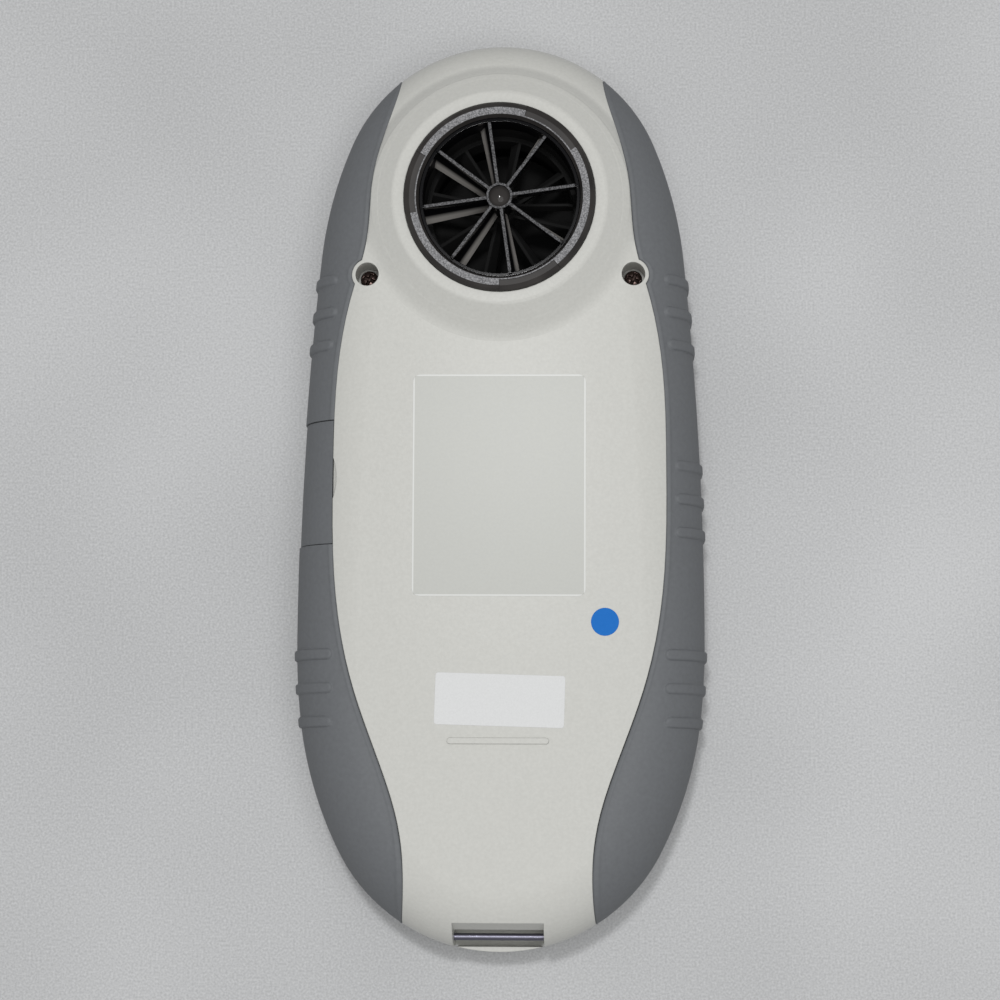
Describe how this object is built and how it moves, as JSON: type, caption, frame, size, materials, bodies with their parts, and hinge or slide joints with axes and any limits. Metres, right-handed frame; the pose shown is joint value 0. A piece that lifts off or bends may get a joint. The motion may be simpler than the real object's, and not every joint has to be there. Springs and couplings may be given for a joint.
{
  "type": "spirometer",
  "caption": "Hand-held turbine spirometer with side grips, a twist-locked flow turbine, display, keys and a hinged port cover.",
  "frame": {"origin": "centre of the casing's outline, on the surface that the front face rests on", "axes": "+Y along the casing towards the turbine, +Z out of the back face, +X to the right seen from the back"},
  "size_m": [0.081, 0.1794, 0.0335],
  "materials": {
    "shell_plastic": "fine-textured warm white moulded ABS",
    "grip_rubber": "soft-touch grey overmould",
    "steel": "bright drawn steel",
    "screw_steel": "plated steel",
    "sleeve_plastic": "plain moulding",
    "board_green": "solder-masked board",
    "sensor_lens": "infrared-passing plastic",
    "panel_plastic": "printed overlay",
    "window_clear": "clear acrylic",
    "display_glass": "display glass",
    "frame_plastic": "white carrier moulding",
    "part_black": "moulded component",
    "socket_metal": "tinned shell",
    "cell_wrap": "foil pouch",
    "foam": "adhesive foam",
    "wire_red": "wire insulation",
    "plug_white": "connector housing",
    "turbine_black": "black moulding, partly textured",
    "bearing_ruby": "jewel",
    "seal_rubber": "O-ring",
    "rotor_plastic": "thin blade",
    "key_plastic": "satin key cap"
  },
  "bodies": {
    "casing": {"back_cover": "shell_plastic", "front_cover": "shell_plastic", "left_grip": "grip_rubber", "right_grip": "grip_rubber", "strap_pin": "steel", "case_screws": "screw_steel", "sensor_sleeve": "sleeve_plastic", "sensor_board": "board_green", "ir_emitters": "sensor_lens", "ir_receivers": "sensor_lens", "face_panel": "panel_plastic", "display_window": "window_clear", "lcd_panel": "display_glass", "lcd_frame": "frame_plastic", "key_switches": "part_black", "main_board": "board_green", "board_screws": "screw_steel", "usb_connector": "socket_metal", "processor": "part_black", "radio_module": "socket_metal", "buzzer": "part_black", "battery_pack": "cell_wrap", "battery_pad": "foam", "battery_lead": "wire_red", "battery_plug": "plug_white"},
    "turbine": {"turbine_housing": "turbine_black", "rear_swirler": "turbine_black", "front_swirler": "turbine_black", "rear_bearing": "bearing_ruby", "front_bearing": "bearing_ruby", "window_ring": "sensor_lens", "turbine_seal": "seal_rubber"},
    "rotor": {"rotor_vane": "rotor_plastic", "rotor_shaft": "steel"},
    "port_door": {"port_cover": "grip_rubber"},
    "power_key": {"power_key": "key_plastic"},
    "up_key": {"up_key": "key_plastic"},
    "down_key": {"down_key": "key_plastic"},
    "left_key": {"left_key": "key_plastic"},
    "right_key": {"right_key": "key_plastic"}
  },
  "joints": [
    {"name": "turbine_twist", "type": "hinge", "parent": "casing", "child": "turbine", "pos_m": [0, 0.056, 0.022], "axis": [0, 0, 1], "range_deg": [0, 30]},
    {"name": "rotor_spin", "type": "hinge", "parent": "turbine", "child": "rotor", "pos_m": [0, 0.056, 0.0221], "axis": [0, 0, 1], "continuous": true},
    {"name": "port_cover_hinge", "type": "hinge", "parent": "casing", "child": "port_door", "pos_m": [-0.037, 0.00105, 0.0088], "axis": [0, -1, 0], "range_deg": [0, 85]},
    {"name": "power_key_press", "type": "slide", "parent": "casing", "child": "power_key", "axis": [0, 0, 1], "range_m": [0, 0.0006], "stiffness_N_per_m": 800, "springref_m": -0.0006},
    {"name": "up_key_press", "type": "slide", "parent": "casing", "child": "up_key", "axis": [0, 0, 1], "range_m": [0, 0.0006], "stiffness_N_per_m": 800, "springref_m": -0.0006},
    {"name": "down_key_press", "type": "slide", "parent": "casing", "child": "down_key", "axis": [0, 0, 1], "range_m": [0, 0.0006], "stiffness_N_per_m": 800, "springref_m": -0.0006},
    {"name": "left_key_press", "type": "slide", "parent": "casing", "child": "left_key", "axis": [0, 0, 1], "range_m": [0, 0.0006], "stiffness_N_per_m": 800, "springref_m": -0.0006},
    {"name": "right_key_press", "type": "slide", "parent": "casing", "child": "right_key", "axis": [0, 0, 1], "range_m": [0, 0.0006], "stiffness_N_per_m": 800, "springref_m": -0.0006}
  ]
}
